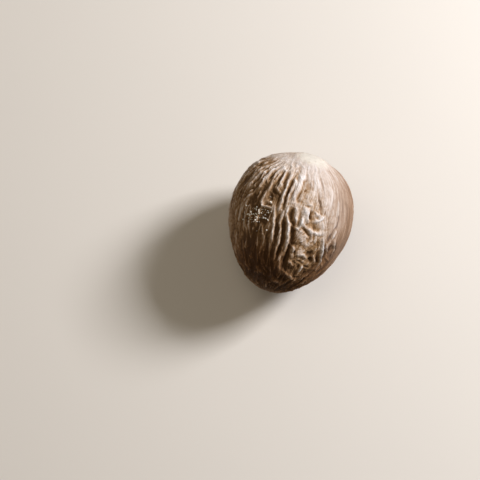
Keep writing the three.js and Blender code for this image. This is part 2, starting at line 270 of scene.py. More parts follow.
STROKES = (
    Stroke(0.34, 0.5, ((102, 36), (100, 45), (100.5, 54.5), (100.5, 62.5), (99.5, 69.5), (99.5, 75.5))),
    Stroke(0.34, 0.56, ((85, 35), (86.5, 48.5), (87, 54.5), (88.5, 60.5), (88.5, 69.5))),
    Stroke(0.34, 0.22, ((93, 41.5), (92.5, 49.5), (94, 60), (93.5, 66), (93.5, 72))),
    Stroke(0.3, 0.21, ((109.5, 39), (108.5, 46.5), (108.5, 51), (107.5, 56))),
    Stroke(0.24, 0.24, ((116, 35.5), (118.5, 42), (120, 46.5), (120, 51))),
    Stroke(0.26, 0.24, ((119.5, 53), (118, 59), (120, 65), (119.5, 73.5), (117.5, 75.5), (109, 74.5))),
    Stroke(0.2, 0.2, ((115.5, 61), (110.5, 64), (108.5, 67.5))),
    Stroke(0.18, 0.18, ((112, 57.5), (106.5, 59.5), (101.5, 62.5))),
    Stroke(0.34, 0.26, ((92.5, 70), (94.5, 78.5), (94.5, 83), (92, 90), (90.5, 92.5), (90, 97.5),
                         (91, 103), (91, 113))),
    Stroke(0.34, 0.3, ((90.5, 69.5), (90.5, 75.5), (88, 79.5), (85, 83.5), (84, 89.5), (82, 92.5),
                         (81.5, 99.5), (81, 107.5))),
    Stroke(0.26, 0.26, ((102.5, 75.5), (102, 82.5), (100, 86.5), (98.5, 94), (99, 99.5))),
    Stroke(0.14, 0.16, ((104, 85.5), (105.5, 90))),
    Stroke(0.14, 0.14, ((107.5, 102), (108.5, 108), (111, 115.5))),
    Stroke(0.3, 0.2, ((86.5, 108.5), (83, 115.5), (79, 124.5))),
    Stroke(0.24, 0.14, ((86.5, 81), (78.5, 84), (75, 85), (70.5, 86))),
    Stroke(0.22, 0.16, ((80.5, 96), (75.5, 99), (72, 101), (72, 104))),
    Stroke(0.24, 0.34, ((68, 82), (60.5, 84.5), (55, 85), (48, 83.5))),
    Stroke(0.3, 0.42, ((73, 66.5), (70, 75))),
    Stroke(0.24, 0.34, ((83.5, 68), (81, 73.5))),
    Stroke(0.26, 0.32, ((81.5, 75.5), (80, 80))),
    Stroke(0.28, 0.36, ((75.5, 75), (72.5, 81.5))),
    Stroke(0.22, 0.28, ((62, 76.5), (57.5, 75), (54.5, 72))),
    Stroke(0.2, 0.15, ((32.5, 78.5), (35, 83.5), (37, 88), (39, 92.5))),
    Stroke(0.26, 0.17, ((48, 84), (46, 91), (42, 99), (38.5, 106.5), (37.5, 112.5))),
    Stroke(0.2, 0.15, ((42, 89), (38.5, 95.5), (34.5, 101))),
    Stroke(0.2, 0.15, ((34, 85.5), (30.5, 92), (25.5, 99.5))),
    Stroke(0.22, 0.22, ((80.5, 119.5), (76.5, 122), (64.5, 126.5), (52.5, 130))),
    Stroke(0.18, 0.2, ((83.5, 136.5), (71, 137.5))),
    Stroke(0.16, 0.16, ((55.5, 112), (56, 120))),
    Stroke(0.16, 0.16, ((33.5, 110.5), (35, 119.5))),
    Stroke(-0.36, 0.24, ((96.5, 39), (97, 51), (97, 59), (97, 64), (96.5, 72))),
    Stroke(-0.36, 0.36, ((106.5, 38.5), (103.5, 49.5), (102.5, 56.5), (103.5, 64.5), (103.5, 70.5))),
    Stroke(-0.28, 0.6, ((114.5, 59.5), (111.5, 64.5), (114, 70))),
    Stroke(-0.2, 0.22, ((78.5, 41), (82, 47), (83, 52.5))),
    Stroke(-0.3, 0.26, ((83.5, 54.5), (84, 59.5), (85, 63), (80, 64))),
    Stroke(-0.2, 0.14, ((60, 37.5), (57.5, 45), (55.5, 52.5))),
    Stroke(-0.16, 0.16, ((61.5, 27.5), (61, 33.5))),
    Stroke(-0.16, 0.18, ((67.5, 28.5), (70.5, 37.5))),
    Stroke(-0.2, 0.16, ((75, 62.5), (72.5, 65), (69, 65))),
    Stroke(-0.5, 0.36, ((91.5, 79.5), (90, 87.5), (88, 94.5), (87.5, 101.5), (88, 108.5))),
    Stroke(-0.5, 0.42, ((88, 71.5), (85, 77), (81.5, 82.5), (79, 89), (77, 96), (77.5, 103.5),
                         (77, 112.5), (75, 121.5))),
    Stroke(-0.22, 0.24, ((78.5, 70.5), (76.5, 77.5), (76, 82.5))),
    Stroke(-0.3, 0.18, ((68, 67), (66, 76))),
    Stroke(-0.32, 0.2, ((73, 81.5), (66, 85.5), (61, 88), (61, 90), (62, 94))),
    Stroke(-0.24, 0.34, ((64, 77.5), (60, 81), (56, 83))),
    Stroke(-0.24, 0.18, ((37, 82.5), (39.5, 90.5))),
    Stroke(-0.55, 0.42, ((58.5, 101.5), (54.5, 102), (51, 100.5))),
    Stroke(-0.4, 0.34, ((51.5, 105), (48.5, 109))),
    Stroke(-0.3, 0.2, ((69, 78), (68.5, 80))),
    Stroke(-0.3, 0.24, ((78.5, 52.5), (77.5, 54))),
    Stroke(-0.36, 0.36, ((99.5, 76.5), (98, 84), (95.5, 91), (95, 99))),
    Stroke(0.34, 0.18, ((123, 34.5), (125, 38.5), (127, 43), (129.5, 47), (129.5, 52), (130, 56),
                         (130.5, 60.5), (131, 64))),
    Stroke(0.32, 0.17, ((132, 36), (134.5, 42), (135.5, 47.5), (135.5, 51.5), (135, 55.5),
                        (135, 59.5))),
    Stroke(0.28, 0.17, ((145, 43.5), (146.5, 48.5), (146, 52.5))),
    Stroke(0.32, 0.17, ((142, 49.5), (141.5, 54.5), (143.5, 58.5), (144, 62), (145.5, 66))),
    Stroke(0.3, 0.17, ((137.5, 59), (137, 63.5), (137.5, 67.5), (140, 71))),
    Stroke(0.24, 0.17, ((137, 70.5), (140, 74), (142.5, 78), (143.5, 81))),
    Stroke(0.32, 0.16, ((126.5, 50), (128.5, 54.5), (129, 60), (130, 63.5))),
    Stroke(-0.36, 0.16, ((122.5, 44), (124, 48.5), (124, 52.5))),
    Stroke(-0.36, 0.17, ((113.5, 40.5), (113.5, 47), (113.5, 50.5), (113.5, 55))),
    Stroke(-0.36, 0.15, ((129, 41), (132, 47), (132.5, 51.5), (132, 55.5))),
    Stroke(-0.34, 0.16, ((137.5, 51), (138, 56), (139, 59.5))),
    Stroke(-0.3, 0.15, ((144, 49.5), (147.5, 53.5))),
    Stroke(-0.34, 0.17, ((139.5, 60.5), (143.5, 64))),
    Stroke(-0.34, 0.17, ((135.5, 64), (139, 66.5), (141.5, 69.5))),
    Stroke(-0.22, 0.2, ((114.5, 60.5), (106, 62.5), (102.5, 63))),
    Stroke(0.2, 0.18, ((118, 75.5), (114, 75), (108, 74.5))),
    Stroke(0.2, 0.17, ((120, 70), (119.5, 73), (118, 75.5))),
    Stroke(-0.34, 0.17, ((62, 53.5), (61.5, 56), (60.5, 58), (59, 61), (57.5, 64.5), (57, 68),
                         (56.5, 70))),
    Stroke(-0.26, 0.15, ((33, 69.5), (33.5, 75), (34.5, 77.5), (37.5, 82.5), (40, 87.5), (40, 90.5))),
    Stroke(-0.2, 0.16, ((51.5, 67.5), (52.5, 70))),
    Stroke(0.18, 0.2, ((35.5, 56.5), (35.5, 63), (35.5, 69.5))),
    Stroke(-0.14, 0.15, ((28.5, 47.5), (29, 54.5), (28.5, 63), (29.5, 71))),
    Stroke(0.2, 0.16, ((76, 64), (72, 64.5), (68, 64))),
    Stroke(-0.2, 0.15, ((75.5, 65), (72.5, 66), (69, 66))),
    Stroke(-0.22, 0.16, ((67.5, 69), (67.5, 73), (66, 75.5))),
    Stroke(0.2, 0.16, ((65, 67.5), (61, 70), (57, 71), (52.5, 72))),
    Stroke(-0.2, 0.15, ((62, 72), (59, 73), (55.5, 75))),
    Stroke(0.2, 0.16, ((58, 76), (54.5, 73.5), (52, 71))),
    Stroke(0.32, 0.18, ((47, 87.5), (45, 92), (44, 96), (41.5, 100.5), (39, 105.5), (37.5, 109.5),
                         (35.5, 115.5))),
    Stroke(0.3, 0.18, ((34.5, 81.5), (36, 85), (38, 89), (38.5, 91.5), (38.5, 95), (35.5, 98),
                         (35, 101))),
    Stroke(0.28, 0.16, ((30.5, 84), (31.5, 88), (31, 91.5), (27.5, 95.5), (26, 100))),
    Stroke(0.2, 0.16, ((35, 101.5), (29.5, 104.5), (21.5, 107))),
    Stroke(0.2, 0.16, ((49.5, 100), (48, 104.5), (43, 109))),
    Stroke(0.18, 0.15, ((35, 107.5), (27, 113.5))),
    Stroke(-0.22, 0.16, ((52, 88.5), (50, 92.5), (47.5, 97), (45, 101))),
    Stroke(-0.3, 0.2, ((45.5, 101), (44.5, 104.5), (39.5, 108))),
    Stroke(-0.24, 0.15, ((43.5, 92), (40.5, 96.5), (39.5, 100), (36, 105.5))),
    Stroke(-0.34, 0.2, ((33, 92.5), (32.5, 96.5), (32.5, 99))),
    Stroke(-0.3, 0.18, ((34, 86), (32.5, 88))),
    Stroke(-0.3, 0.2, ((26.5, 91.5), (22, 96.5), (21, 100))),
    Stroke(-0.3, 0.2, ((51, 105), (48, 108.5))),
    Stroke(-0.28, 0.2, ((26, 101), (24, 104))),
    Stroke(0.26, 0.2, ((75, 111.5), (70, 113.5), (67, 115))),
    Stroke(0.26, 0.15, ((56, 113.5), (56, 117), (57, 121))),
    Stroke(0.24, 0.16, ((66.5, 123.5), (59, 127))),
    Stroke(0.24, 0.2, ((65, 105), (60.5, 103.5), (56, 106))),
    Stroke(0.2, 0.2, ((76.5, 100.5), (76, 104), (73.5, 107.5))),
    Stroke(-0.36, 0.21, ((79.5, 98), (78, 103.5), (77, 108.5), (78, 113.5), (78.5, 119))),
    Stroke(-0.3, 0.18, ((88.5, 103), (88.5, 107.5), (89, 110.5))),
    Stroke(-0.24, 0.18, ((71, 102.5), (70, 105))),
    Stroke(-0.3, 0.18, ((59.5, 112.5), (59, 117))),
    Stroke(-0.24, 0.16, ((54, 113), (46.5, 114.5))),
    Stroke(-0.28, 0.18, ((58, 127), (50.5, 126))),
    Stroke(-0.24, 0.18, ((65.5, 110), (59, 110.5), (55.5, 112.5))),
)


@dataclass(frozen=True)
class StrokeProfile:
    """The cross-section and the ends that all long ridges and furrows share.

    Attributes:
        stray: how far they stray from their paths, in millimetres.
        ends: the shares of a path between which the height follows it.
        taper: how slowly they rise at their ends; the smaller, the more suddenly.
        flatness: how flat their tops are; 2 is a bell.
        calm_reach: how far from one the smaller wrinkles are lower, in millimetres.
        tint: how much paler each millimetre of height makes them, and a furrow's depth darker; partly
            painted light and shade, strong enough that colour carries the relief where the light runs
            along it.
    """

    stray: float = 0.035
    ends: Pair = (0.02, 0.98)
    taper: float = 0.4
    flatness: float = 2.7
    calm_reach: float = 0.9
    tint: float = 2.0

    def height(self, away: Array, share: Array, width: float) -> Array:
        """Returns the height, from 0 to 1, at a distance from the path and a share of its length."""
        taper = np.sin(math.pi * np.clip(share, *self.ends)) ** self.taper
        return taper * np.exp(-((away / width) ** self.flatness))

    def near(self, away: Array) -> Array:
        """Returns how near a path at this distance is, from 0 far away to 1."""
        return np.exp(-((away / self.calm_reach) ** 2))


def closest_on_path(path: Array, here: Array) -> tuple[Array, Array]:
    """Finds the closest place on a path of straight steps.

    Args:
        path: the path's points, in millimetres.
        here: the points to look from, in millimetres.

    Returns:
        How far away that place is, and its share of the path's length from the start.
    """
    steps = np.linalg.norm(np.diff(path, axis=0), axis=1)
    best = np.full(len(here), np.inf)
    share = np.zeros(len(here))
    done = 0.0
    for start, end, step in zip(path[:-1], path[1:], steps):
        t = np.clip((here - start) @ (end - start) / step**2, 0, 1)
        away = np.linalg.norm(here - start - t[:, None] * (end - start), axis=1)
        closer = away < best
        best = np.where(closer, away, best)
        share = np.where(closer, (done + t * step) / steps.sum(), share)
        done += step
    return best, share


@dataclass(frozen=True)
class WrinkleLayer:
    """Wrinkles of one size, drawn out along the grain.

    Attributes:
        waves: the field that places them.
        draw_out: how much shorter a step along the grain counts than one across it.
        height: from a groove to a crest, in millimetres.
        tint: how much the crests are paler than the grooves.
        calm: the share by which a long ridge close by lowers them.
        fine: the share by which they are higher where the skin is finely wrinkled.
        fine_edge: how much thinner their ridges are there.
        steepness: how steep their sides are.
    """

    waves: WaveField
    draw_out: float
    height: float
    tint: float
    calm: float = 0.3
    fine: float = 0.0
    fine_edge: float = 0.0
    steepness: float = 2.0

    def shape(self, x: Array, y: Array, edge: Array) -> Array:
        """Works out the wrinkles' shape.

        Args:
            x, y: angles about the scar and stretched angles from it.
            edge: 0 for rounded lumps with sharp grooves, 0.5 for even folds, 1 for thin ridges.

        Returns:
            The height, from 0 to 1.
        """
        wave = np.tanh(self.steepness * self.waves.at(wound(x, y, self.draw_out)))
        folds, lumps = 0.5 + wave / 2, np.abs(wave)
        softer = lumps + np.clip(2 * edge, 0, 1) * (folds - lumps)
        return softer + np.clip(2 * edge - 1, 0, 1) * (1 - lumps - folds)


@dataclass(frozen=True)
class CreaseNet:
    """A net of thin grooves that cross the wrinkles.

    Attributes:
        waves: the field; the grooves follow the lines where it is 0.
        thinness: how thin the grooves are.
        depth: how deep they are cut, in millimetres.
        tint: how much darker they are than the skin beside them.
        sharpness: how steep their sides are.
        calm: the share by which a long ridge close by lowers them.
    """

    waves: WaveField
    thinness: float
    depth: float
    tint: float
    sharpness: float = 1.5
    calm: float = 0.6

    def shape(self, spots: Spots, near: Array) -> Array:
        """Returns how deep the grooves are cut, from 0 to 1, and less near a long ridge."""
        lines = 1 - np.tanh(self.thinness * np.abs(self.waves.at(spots.direction)))
        return lines**self.sharpness * (1 - self.calm * near)


@dataclass
class KernelForm:
    """The kernel's shape. The sizes in millimetres repeat those of the solid.

    Attributes:
        length, width, height: the smooth kernel's sizes from side to side.
        scar_end_widening: the share by which the scar end is wider than the middle.
        scar_rise: how far the point where the wrinkles meet sits above the long axis, in radians.
        scar_at: the scar's middle, in degrees about and from that point.
        scar_height: how far the scar stands out.
        scar_edge: where the raised scar starts to fall and has fallen, in degrees from its middle.
        rest_cut: how deep the flat spot under the kernel is cut.
        swelling: how far the low, broad lumps stand out.
        meander: how far the grain wanders sideways, in radians at the waist.
        meander_limits: the smallest and largest share of that in any zone.
        least_girth: the smallest girth that the wandering is fitted to, as a share of the waist's.
        depth: the wrinkles' depth outside the zones, as a share.
        patch_depth: how much that depth varies from patch to patch.
        patch_contrast: how sharply one patch gives way to the next.
        depth_limits: the smallest and largest depth.
        tint_limits: the smallest and largest depth that the colour follows.
        edge: how thin and sharp the ridges are outside the zones.
        crackle: how much fine crackle there is everywhere, and what fine wrinkles add to it.
        crackle_limit: the most crackle that there is anywhere.
        mean_crest, tip_crest: how crest-like the colour is without wrinkles, and at the tips.
        fade_at_scar, fade_at_tip: where the wrinkles start and are full, in radians from each end.
        least_angle: the smallest angle from an end that the grain is worked out for, in radians.
        flow_draw_out: how much shorter a step along the grain counts in the colour's lines.
        swellings, meander_around, meander_along, patches: the waves of each of these.
        wobbles: the waves that the long ridges stray by, one for each axis.
        creases, crackles: the short crossed creases and the fine crackle.
        profile: the long ridges' cross-section and ends.
        layers: the wrinkles along the grain, the broadest first.
    """

    length: float = 24.4
    width: float = 20.2
    height: float = 19.8
    scar_end_widening: float = 0.15
    scar_rise: float = math.radians(20)
    scar_at: Pair = (62, 12)
    scar_height: float = 0.22
    scar_edge: Pair = (13, 21)
    rest_cut: float = 0.4
    swelling: float = 0.3
    meander: float = 0.035
    meander_limits: Pair = (0.2, 3)
    least_girth: float = 0.25
    depth: float = 0.9
    patch_depth: float = 0.3
    patch_contrast: float = 1.5
    depth_limits: Pair = (0.12, 1.8)
    tint_limits: Pair = (0.3, 1.2)
    edge: float = 0.2
    crackle: Pair = (0.35, 0.6)
    crackle_limit: float = 1.3
    mean_crest: float = 0.5
    tip_crest: float = 0.6
    fade_at_scar: Pair = (0.3, 0.8)
    fade_at_tip: Pair = (0, 0.3)
    least_angle: float = 1e-3
    flow_draw_out: float = 0.12
    swellings: WaveField = field(default_factory=lambda: WaveField(11, 2.2))
    meander_around: WaveField = field(default_factory=lambda: WaveField(23, 9))
    meander_along: WaveField = field(default_factory=lambda: WaveField(37, 9))
    patches: WaveField = field(default_factory=lambda: WaveField(41, 3.5))
    wobbles: tuple[WaveField, ...] = field(
        default_factory=lambda: tuple(WaveField(seed, 70, 24) for seed in (71, 73, 79))
    )
    creases: CreaseNet = field(
        default_factory=lambda: CreaseNet(WaveField(67, 26, 30), thinness=1.6, depth=0.24, tint=0.6)
    )
    crackles: CreaseNet = field(
        default_factory=lambda: CreaseNet(WaveField(83, 62, 40), thinness=1.8, depth=0.09, tint=0.5)
    )
    profile: StrokeProfile = StrokeProfile()
    layers: tuple[WrinkleLayer, ...] = field(
        default_factory=lambda: (
            WrinkleLayer(WaveField(57, 24, 30), 0.24, 0.3, 0.5, calm=0.85, fine=-0.85),
            WrinkleLayer(WaveField(59, 46, 40), 0.25, 0.2, 0.6, calm=0.65, fine=0.6, fine_edge=1.0),
            WrinkleLayer(WaveField(61, 110, 60), 0.2, 0.085, 0.35, fine=0.4),
        )
    )

    def spots(self, along: Array, around: Array) -> Spots:
        """Works out directions from their angles.

        Args:
            along: angles from the scar, in radians.
            around: angles about the scar's axis, in radians.

        Returns:
            The directions and the angles.
        """
        rise = self.scar_rise
        axis = np.array([0, math.cos(rise), math.sin(rise)])
        right = np.array([1.0, 0, 0])
        up = np.cross(right, axis)
        across = np.cos(around)[:, None] * right + np.sin(around)[:, None] * up
        direction = np.cos(along)[:, None] * axis + np.sin(along)[:, None] * across
        return Spots(direction, along, around)

    def scar_direction(self) -> Array:
        """Returns the direction of the scar's middle."""
        around, along = np.radians(self.scar_at)
        return self.spots(np.array([along]), np.array([around])).direction[0]

    def base(self, spots: Spots) -> Array:
        """Works out the smooth kernel.

        Args:
            spots: where on the kernel.

        Returns:
            Its points, in millimetres from its middle.
        """
        d = spots.direction
        girth = 1 + self.scar_end_widening * d[:, 1]
        aside = self.width / 2 * girth * d[:, 0]
        above = self.height / 2 * girth * d[:, 2]
        return np.stack([aside, self.length / 2 * d[:, 1], above], 1)

    def zone_total(self, spots: Spots, name: str) -> Array:
        """Returns the sum over the zones of one of their shares."""
        return sum(getattr(zone, name) * zone.share(spots) for zone in ZONES)

    def strokes(self, spots: Spots) -> tuple[Array, Array]:
        """Works out the long ridges and furrows.

        Args:
            spots: where on the kernel.

        Returns:
            Their height in millimetres, and how near the closest one is, from 0 far away to 1.
        """
        stray = np.stack([wobble.at(spots.direction) for wobble in self.wobbles], 1)
        here = self.base(spots) + self.profile.stray * stray
        height, near = np.zeros(len(here)), np.zeros(len(here))
        for stroke in STROKES:
            around, along = np.radians(np.array(stroke.path)).T
            away, share = closest_on_path(self.base(self.spots(along, around)), here)
            height += stroke.rise * self.profile.height(away, share, stroke.width)
            near = np.maximum(near, self.profile.near(away))
        return height, near

    def grain(self, spots: Spots) -> tuple[Array, Array]:
        """Works out where the spots lie on the wandering grain.

        Args:
            spots: where on the kernel.

        Returns:
            Angles about the scar's axis, and stretched angles from the scar.
        """
        safe = np.clip(spots.along, self.least_angle, math.pi - self.least_angle)
        wander = self.meander * np.clip(1 + self.zone_total(spots, "wander"), *self.meander_limits)
        girth = np.maximum(np.sin(safe), self.least_girth)
        x = spots.around + wander * self.meander_around.at(spots.direction) / girth
        y = stretched(safe) + wander * self.meander_along.at(spots.direction)
        return x, y

    def wrinkles(self, spots: Spots, x: Array, y: Array, near: Array) -> tuple[Array, Array]:
        """Works out the wrinkles along the grain, the crossed creases and the crackle.

        Args:
            spots: where on the kernel.
            x, y: angles about the scar and stretched angles from it, along the grain.
            near: how near the closest long ridge is, from 0 far away to 1.

        Returns:
            Their height in millimetres, and their colour from about 0 in a groove to 1 on a crest.
        """
        patchy = np.tanh(self.patch_contrast * self.patches.at(spots.direction))
        usual = self.depth + self.patch_depth * patchy
        depth = np.clip(usual + self.zone_total(spots, "depth"), *self.depth_limits)
        tinted = np.clip(depth, *self.tint_limits)
        edge = np.clip(self.edge + self.zone_total(spots, "edge"), 0, 1)
        fine = np.clip(self.zone_total(spots, "fine"), 0, 1)
        height, crest = np.zeros(len(x)), np.full(len(x), self.mean_crest)
        for layer in self.layers:
            shape = layer.shape(x, y, np.clip(edge + fine * layer.fine_edge, 0, 1)) - 0.5
            share = (1 - layer.calm * near) * (1 + layer.fine * fine)
            height += layer.height * depth * share * shape
            crest += layer.tint * tinted * share * shape
        creased = self.zone_total(spots, "crinkle")
        usual_crackle, fine_crackle = self.crackle
        crackled = np.clip(usual_crackle + fine_crackle * fine + creased, 0, self.crackle_limit)
        for net, share in ((self.creases, np.clip(creased, 0, 1)), (self.crackles, crackled)):
            grooves = share * net.shape(spots, near)
            height -= net.depth * grooves
            crest -= net.tint * grooves
        return height, crest

    def relief(self, spots: Spots) -> dict[str, Array]:
        """Works out the skin's height and what its colour needs.

        Args:
            spots: where on the kernel.

        Returns:
            rise: how far the skin stands out from the smooth kernel, in millimetres.
            crest: how crest-like its colour is, from about 0 in a groove to 1; the long ridges and
                furrows add painted light and shade to it.
            pale, smooth: the zones' totals of these shares; pale partly paints light and shade.
            scar: the angle from the scar's middle, in degrees.
            flow: points whose third number runs along the grain.
        """
        x, y = self.grain(spots)
        drawn, near = self.strokes(spots)
        height, crest = self.wrinkles(spots, x, y, near)
        # Partly painted light and shade: the long ridges are paler and the furrows darker than their
        # own tone, so that colour carries their relief where the light runs along them.
        crest += self.profile.tint * drawn
        fade = smooth_step(spots.along, *self.fade_at_scar)
        fade = fade * smooth_step(math.pi - spots.along, *self.fade_at_tip)
        scar = np.degrees(np.arccos(np.clip(spots.direction @ self.scar_direction(), -1, 1)))
        rise = self.swelling * self.swellings.at(spots.direction)
        rise += self.scar_height * (1 - smooth_step(scar, *self.scar_edge))
        rise += fade * (height + drawn)
        return {
            "rise": rise,
            "crest": self.tip_crest + fade * (crest - self.tip_crest),
            "pale": self.zone_total(spots, "pale"),
            "smooth": np.clip(self.zone_total(spots, "smooth"), 0, 1),
            "scar": scar,
            "flow": wound(x, y, self.flow_draw_out),
        }

    def points(self, spots: Spots, rise: Array) -> Array:
        """Works out the skin's points.

        Args:
            spots: where on the kernel.
            rise: how far the skin stands out there, in millimetres.

        Returns:
            The points, in millimetres from the kernel's middle.
        """
        out = spots.direction / np.array([self.width, self.length, self.height])
        out /= np.linalg.norm(out, axis=1, keepdims=True)
        return self.base(spots) + rise[:, None] * out


@dataclass(frozen=True)
class Signal:
    """A shader socket that stands for its value in Python expressions, which add Math nodes.

    Attributes:
        graph: the material's nodes.
        socket: the socket that gives the value.
    """

    graph: "MaterialGraph"
    socket: bpy.types.NodeSocket

    def __add__(self, other: Any) -> "Signal":
        """Adds."""
        return self.graph.math("ADD", self, other)

    def __sub__(self, other: Any) -> "Signal":
        """Takes other away."""
        return self.graph.math("SUBTRACT", self, other)

    def __rsub__(self, other: Any) -> "Signal":
        """Takes this from other."""
        return self.graph.math("SUBTRACT", other, self)

    def __mul__(self, other: Any) -> "Signal":
        """Multiplies."""
        return self.graph.math("MULTIPLY", self, other)

    __radd__ = __add__
    __rmul__ = __mul__

    def ramp(self, low: float, high: float) -> "Signal":
        """Turns the value into a share.

        Args:
            low: the value where the share starts to rise.
            high: the value where it is full.

        Returns:
            A smooth rise from 0 at low to 1 at high.
        """
        settings = {"interpolation_type": "SMOOTHSTEP"}
        inputs = {"Value": self, "From Min": low, "From Max": high}
        return self.graph.node("ShaderNodeMapRange", settings, inputs)["Result"]


class NodeHandle:
    """A node that was added, whose outputs are read by name or number.

    Attributes:
        graph: the material's nodes.
        node: the node.
    """

    def __init__(self, graph: "MaterialGraph", node: bpy.types.Node) -> None:
        """Keeps the node and the graph that it's in."""
        self.graph, self.node = graph, node

    def __getitem__(self, name: str | int) -> Signal:
        """Returns one of the node's outputs."""
        return Signal(self.graph, self.node.outputs[name])


class MaterialGraph:
    """A material's nodes, ending in one Principled shader.

    Attributes:
        MIX_SHARE, MIX_A, MIX_B, MIX_RESULT: the numbers of a Mix node's sockets for colours.
        material: the material.
        tree: its nodes and links.
        shader: its Principled shader.
    """

    MIX_SHARE, MIX_A, MIX_B, MIX_RESULT = 0, 6, 7, 2

    def __init__(self, name: str) -> None:
        """Makes an empty material with its shader and output.

        Args:
            name: the material's name.
        """
        self.material = bpy.data.materials.new(name)
        self.material.use_nodes = True
        self.tree = self.material.node_tree
        self.tree.nodes.clear()
        self.shader = self.tree.nodes.new("ShaderNodeBsdfPrincipled")
        output = self.tree.nodes.new("ShaderNodeOutputMaterial")
        self.tree.links.new(self.shader.outputs["BSDF"], output.inputs["Surface"])

    def put(self, target: bpy.types.NodeSocket, value: Any) -> None:
        """Sets a socket.

        Args:
            target: the socket.
            value: a number, a colour or another socket's signal.
        """
        if isinstance(value, Signal):
            self.tree.links.new(value.socket, target)
        elif isinstance(value, tuple) and target.type == "RGBA":
            target.default_value = (*value, 1.0)[:4]
        else:
            target.default_value = value

    def node(self, kind: str, settings: dict[str, Any], inputs: dict[str | int, Any]) -> NodeHandle:
        """Adds a node.

        Args:
            kind: Blender's name for the type of node.
            settings: its properties, such as a Math node's operation, which are set first.
            inputs: the value or signal of each socket, by name or number.

        Returns:
            The node, for its outputs.
        """
        made = self.tree.nodes.new(kind)
        for name, value in settings.items():
            setattr(made, name, value)
        for name, value in inputs.items():
            self.put(made.inputs[name], value)
        return NodeHandle(self, made)

    def math(self, operation: str, a: Any, b: Any) -> Signal:
        """Adds a Math node on two values."""
        return self.node("ShaderNodeMath", {"operation": operation}, {0: a, 1: b})[0]

    def mix(self, share: Any, a: Any, b: Any, blend: str = "MIX") -> Signal:
        """Mixes two colours.

        Args:
            share: how much of the second shows, from 0 to 1.
            a, b: the colours.
            blend: how the second is laid over the first, as Blender names it.

        Returns:
            The mixed colour.
        """
        settings = {"data_type": "RGBA", "blend_type": blend}
        inputs = {self.MIX_SHARE: share, self.MIX_A: a, self.MIX_B: b}
        return self.node("ShaderNodeMix", settings, inputs)[self.MIX_RESULT]

    def place(self) -> Signal:
        """Returns the point on the piece, in metres."""
        return self.node("ShaderNodeTexCoord", {}, {})["Object"]

    def attribute(self, name: str, output: str) -> Signal:
        """Returns a value that the mesh holds at each point."""
        return self.node("ShaderNodeAttribute", {"attribute_name": name}, {})[output]

    def noise(self, at: Signal, scale: float, detail: float = 3, roughness: float = 0.5) -> Signal:
        """Returns noise from about 0.3 to 0.7, with a middle of 0.5."""
        inputs = {"Vector": at, "Scale": scale, "Detail": detail, "Roughness": roughness}
        return self.node("ShaderNodeTexNoise", {}, inputs)["Fac"]

    def stretch(self, at: Signal, by: tuple[float, float, float]) -> Signal:
        """Returns a vector stretched by a number each way."""
        return self.node("ShaderNodeVectorMath", {"operation": "MULTIPLY"}, {0: at, 1: by})["Vector"]

    def bump(self, height: Signal, strength: float, distance: float, under: Signal | None) -> Signal:
        """Adds bumps to a surface.

        Args:
            height: where the bumps are.
            strength: how much of them shows, from 0 to 1.
            distance: how high they are, in metres.
            under: the normal that they lie on, if it isn't the mesh's own.

        Returns:
            The new normal.
        """
        inputs: dict[str | int, Any] = {"Strength": strength, "Distance": distance, "Height": height}
        if under is not None:
            inputs["Normal"] = under
        return self.node("ShaderNodeBump", {}, inputs)["Normal"]

    def finish(self, values: dict[str, Any]) -> bpy.types.Material:
        """Sets the shader's own sockets.

        Args:
            values: the value or signal of each socket, by name.

        Returns:
            The material.
        """
        for name, value in values.items():
            self.put(self.shader.inputs[name], value)
        return self.material


class Tone(Enum):
    """The colours of the kernel, the crumbs and the floor, as linear red, green and blue.

    The shade brown isn't shown itself: as painted shade, it is multiplied into the skin where a zone
    makes it deeper.
    """

    GROOVE = (0.098, 0.049, 0.018)
    SKIN = (0.31, 0.182, 0.084)
    CREST = (0.53, 0.437, 0.37)
    CHALK = (0.76, 0.735, 0.74)
    STREAK = (0.17, 0.09, 0.045)
    # Partly painted light: a grey laid on the lit right flank, beside the smooth skin's own rubbed
    # grey.
    GREY_RUBBED_AND_LIT = (0.46, 0.43, 0.44)
    SCAR = (0.60, 0.56, 0.50)
    SCAR_WORN = (0.47, 0.41, 0.335)
    # Painted shade: a warmer, deeper brown that the skin is multiplied by where it lies in shade.
    SHADE_BROWN = (0.64, 0.52, 0.41)
    CRUMB = (0.90, 0.85, 0.74)
    CRUMB_PALE = (0.98, 0.96, 0.91)
    FLOOR = (0.66, 0.63, 0.59)
    FLOOR_CLOUD = (0.5, 0.48, 0.45)


@dataclass(frozen=True)
class SkinNoise:
    """The fine noises over the skin, each from about 0.3 to 0.7 with a middle of 0.5.

    Attributes:
        specks: a fine mottle.
        clouds: broad patches.
        streaks, fibres: coarse and fine lines along the grain.
        threads: long straight lines along the grain.
        fray: broad waves that fray the scar's edge.
    """

    specks: Signal
    clouds: Signal
    streaks: Signal
    fibres: Signal
    threads: Signal
    fray: Signal

    @classmethod
    def over(cls, g: MaterialGraph) -> "SkinNoise":
        """Adds the noises to a material.

        Args:
            g: the material's nodes.

        Returns:
            The noises.
        """
        place, flow = g.place(), g.attribute("flow", "Vector")
        lines, long_lines = g.stretch(flow, (1, 1, 0.55)), g.stretch(flow, (1, 1, 0.18))
        return cls(
            specks=g.noise(place, scale=1500, roughness=0.6),
            clouds=g.noise(place, scale=200),
            streaks=g.noise(lines, scale=40, detail=4, roughness=0.7),
            fibres=g.noise(lines, scale=85, roughness=0.6),
            threads=g.noise(long_lines, scale=34, roughness=0.55),
            fray=g.noise(flow, scale=9),
        )


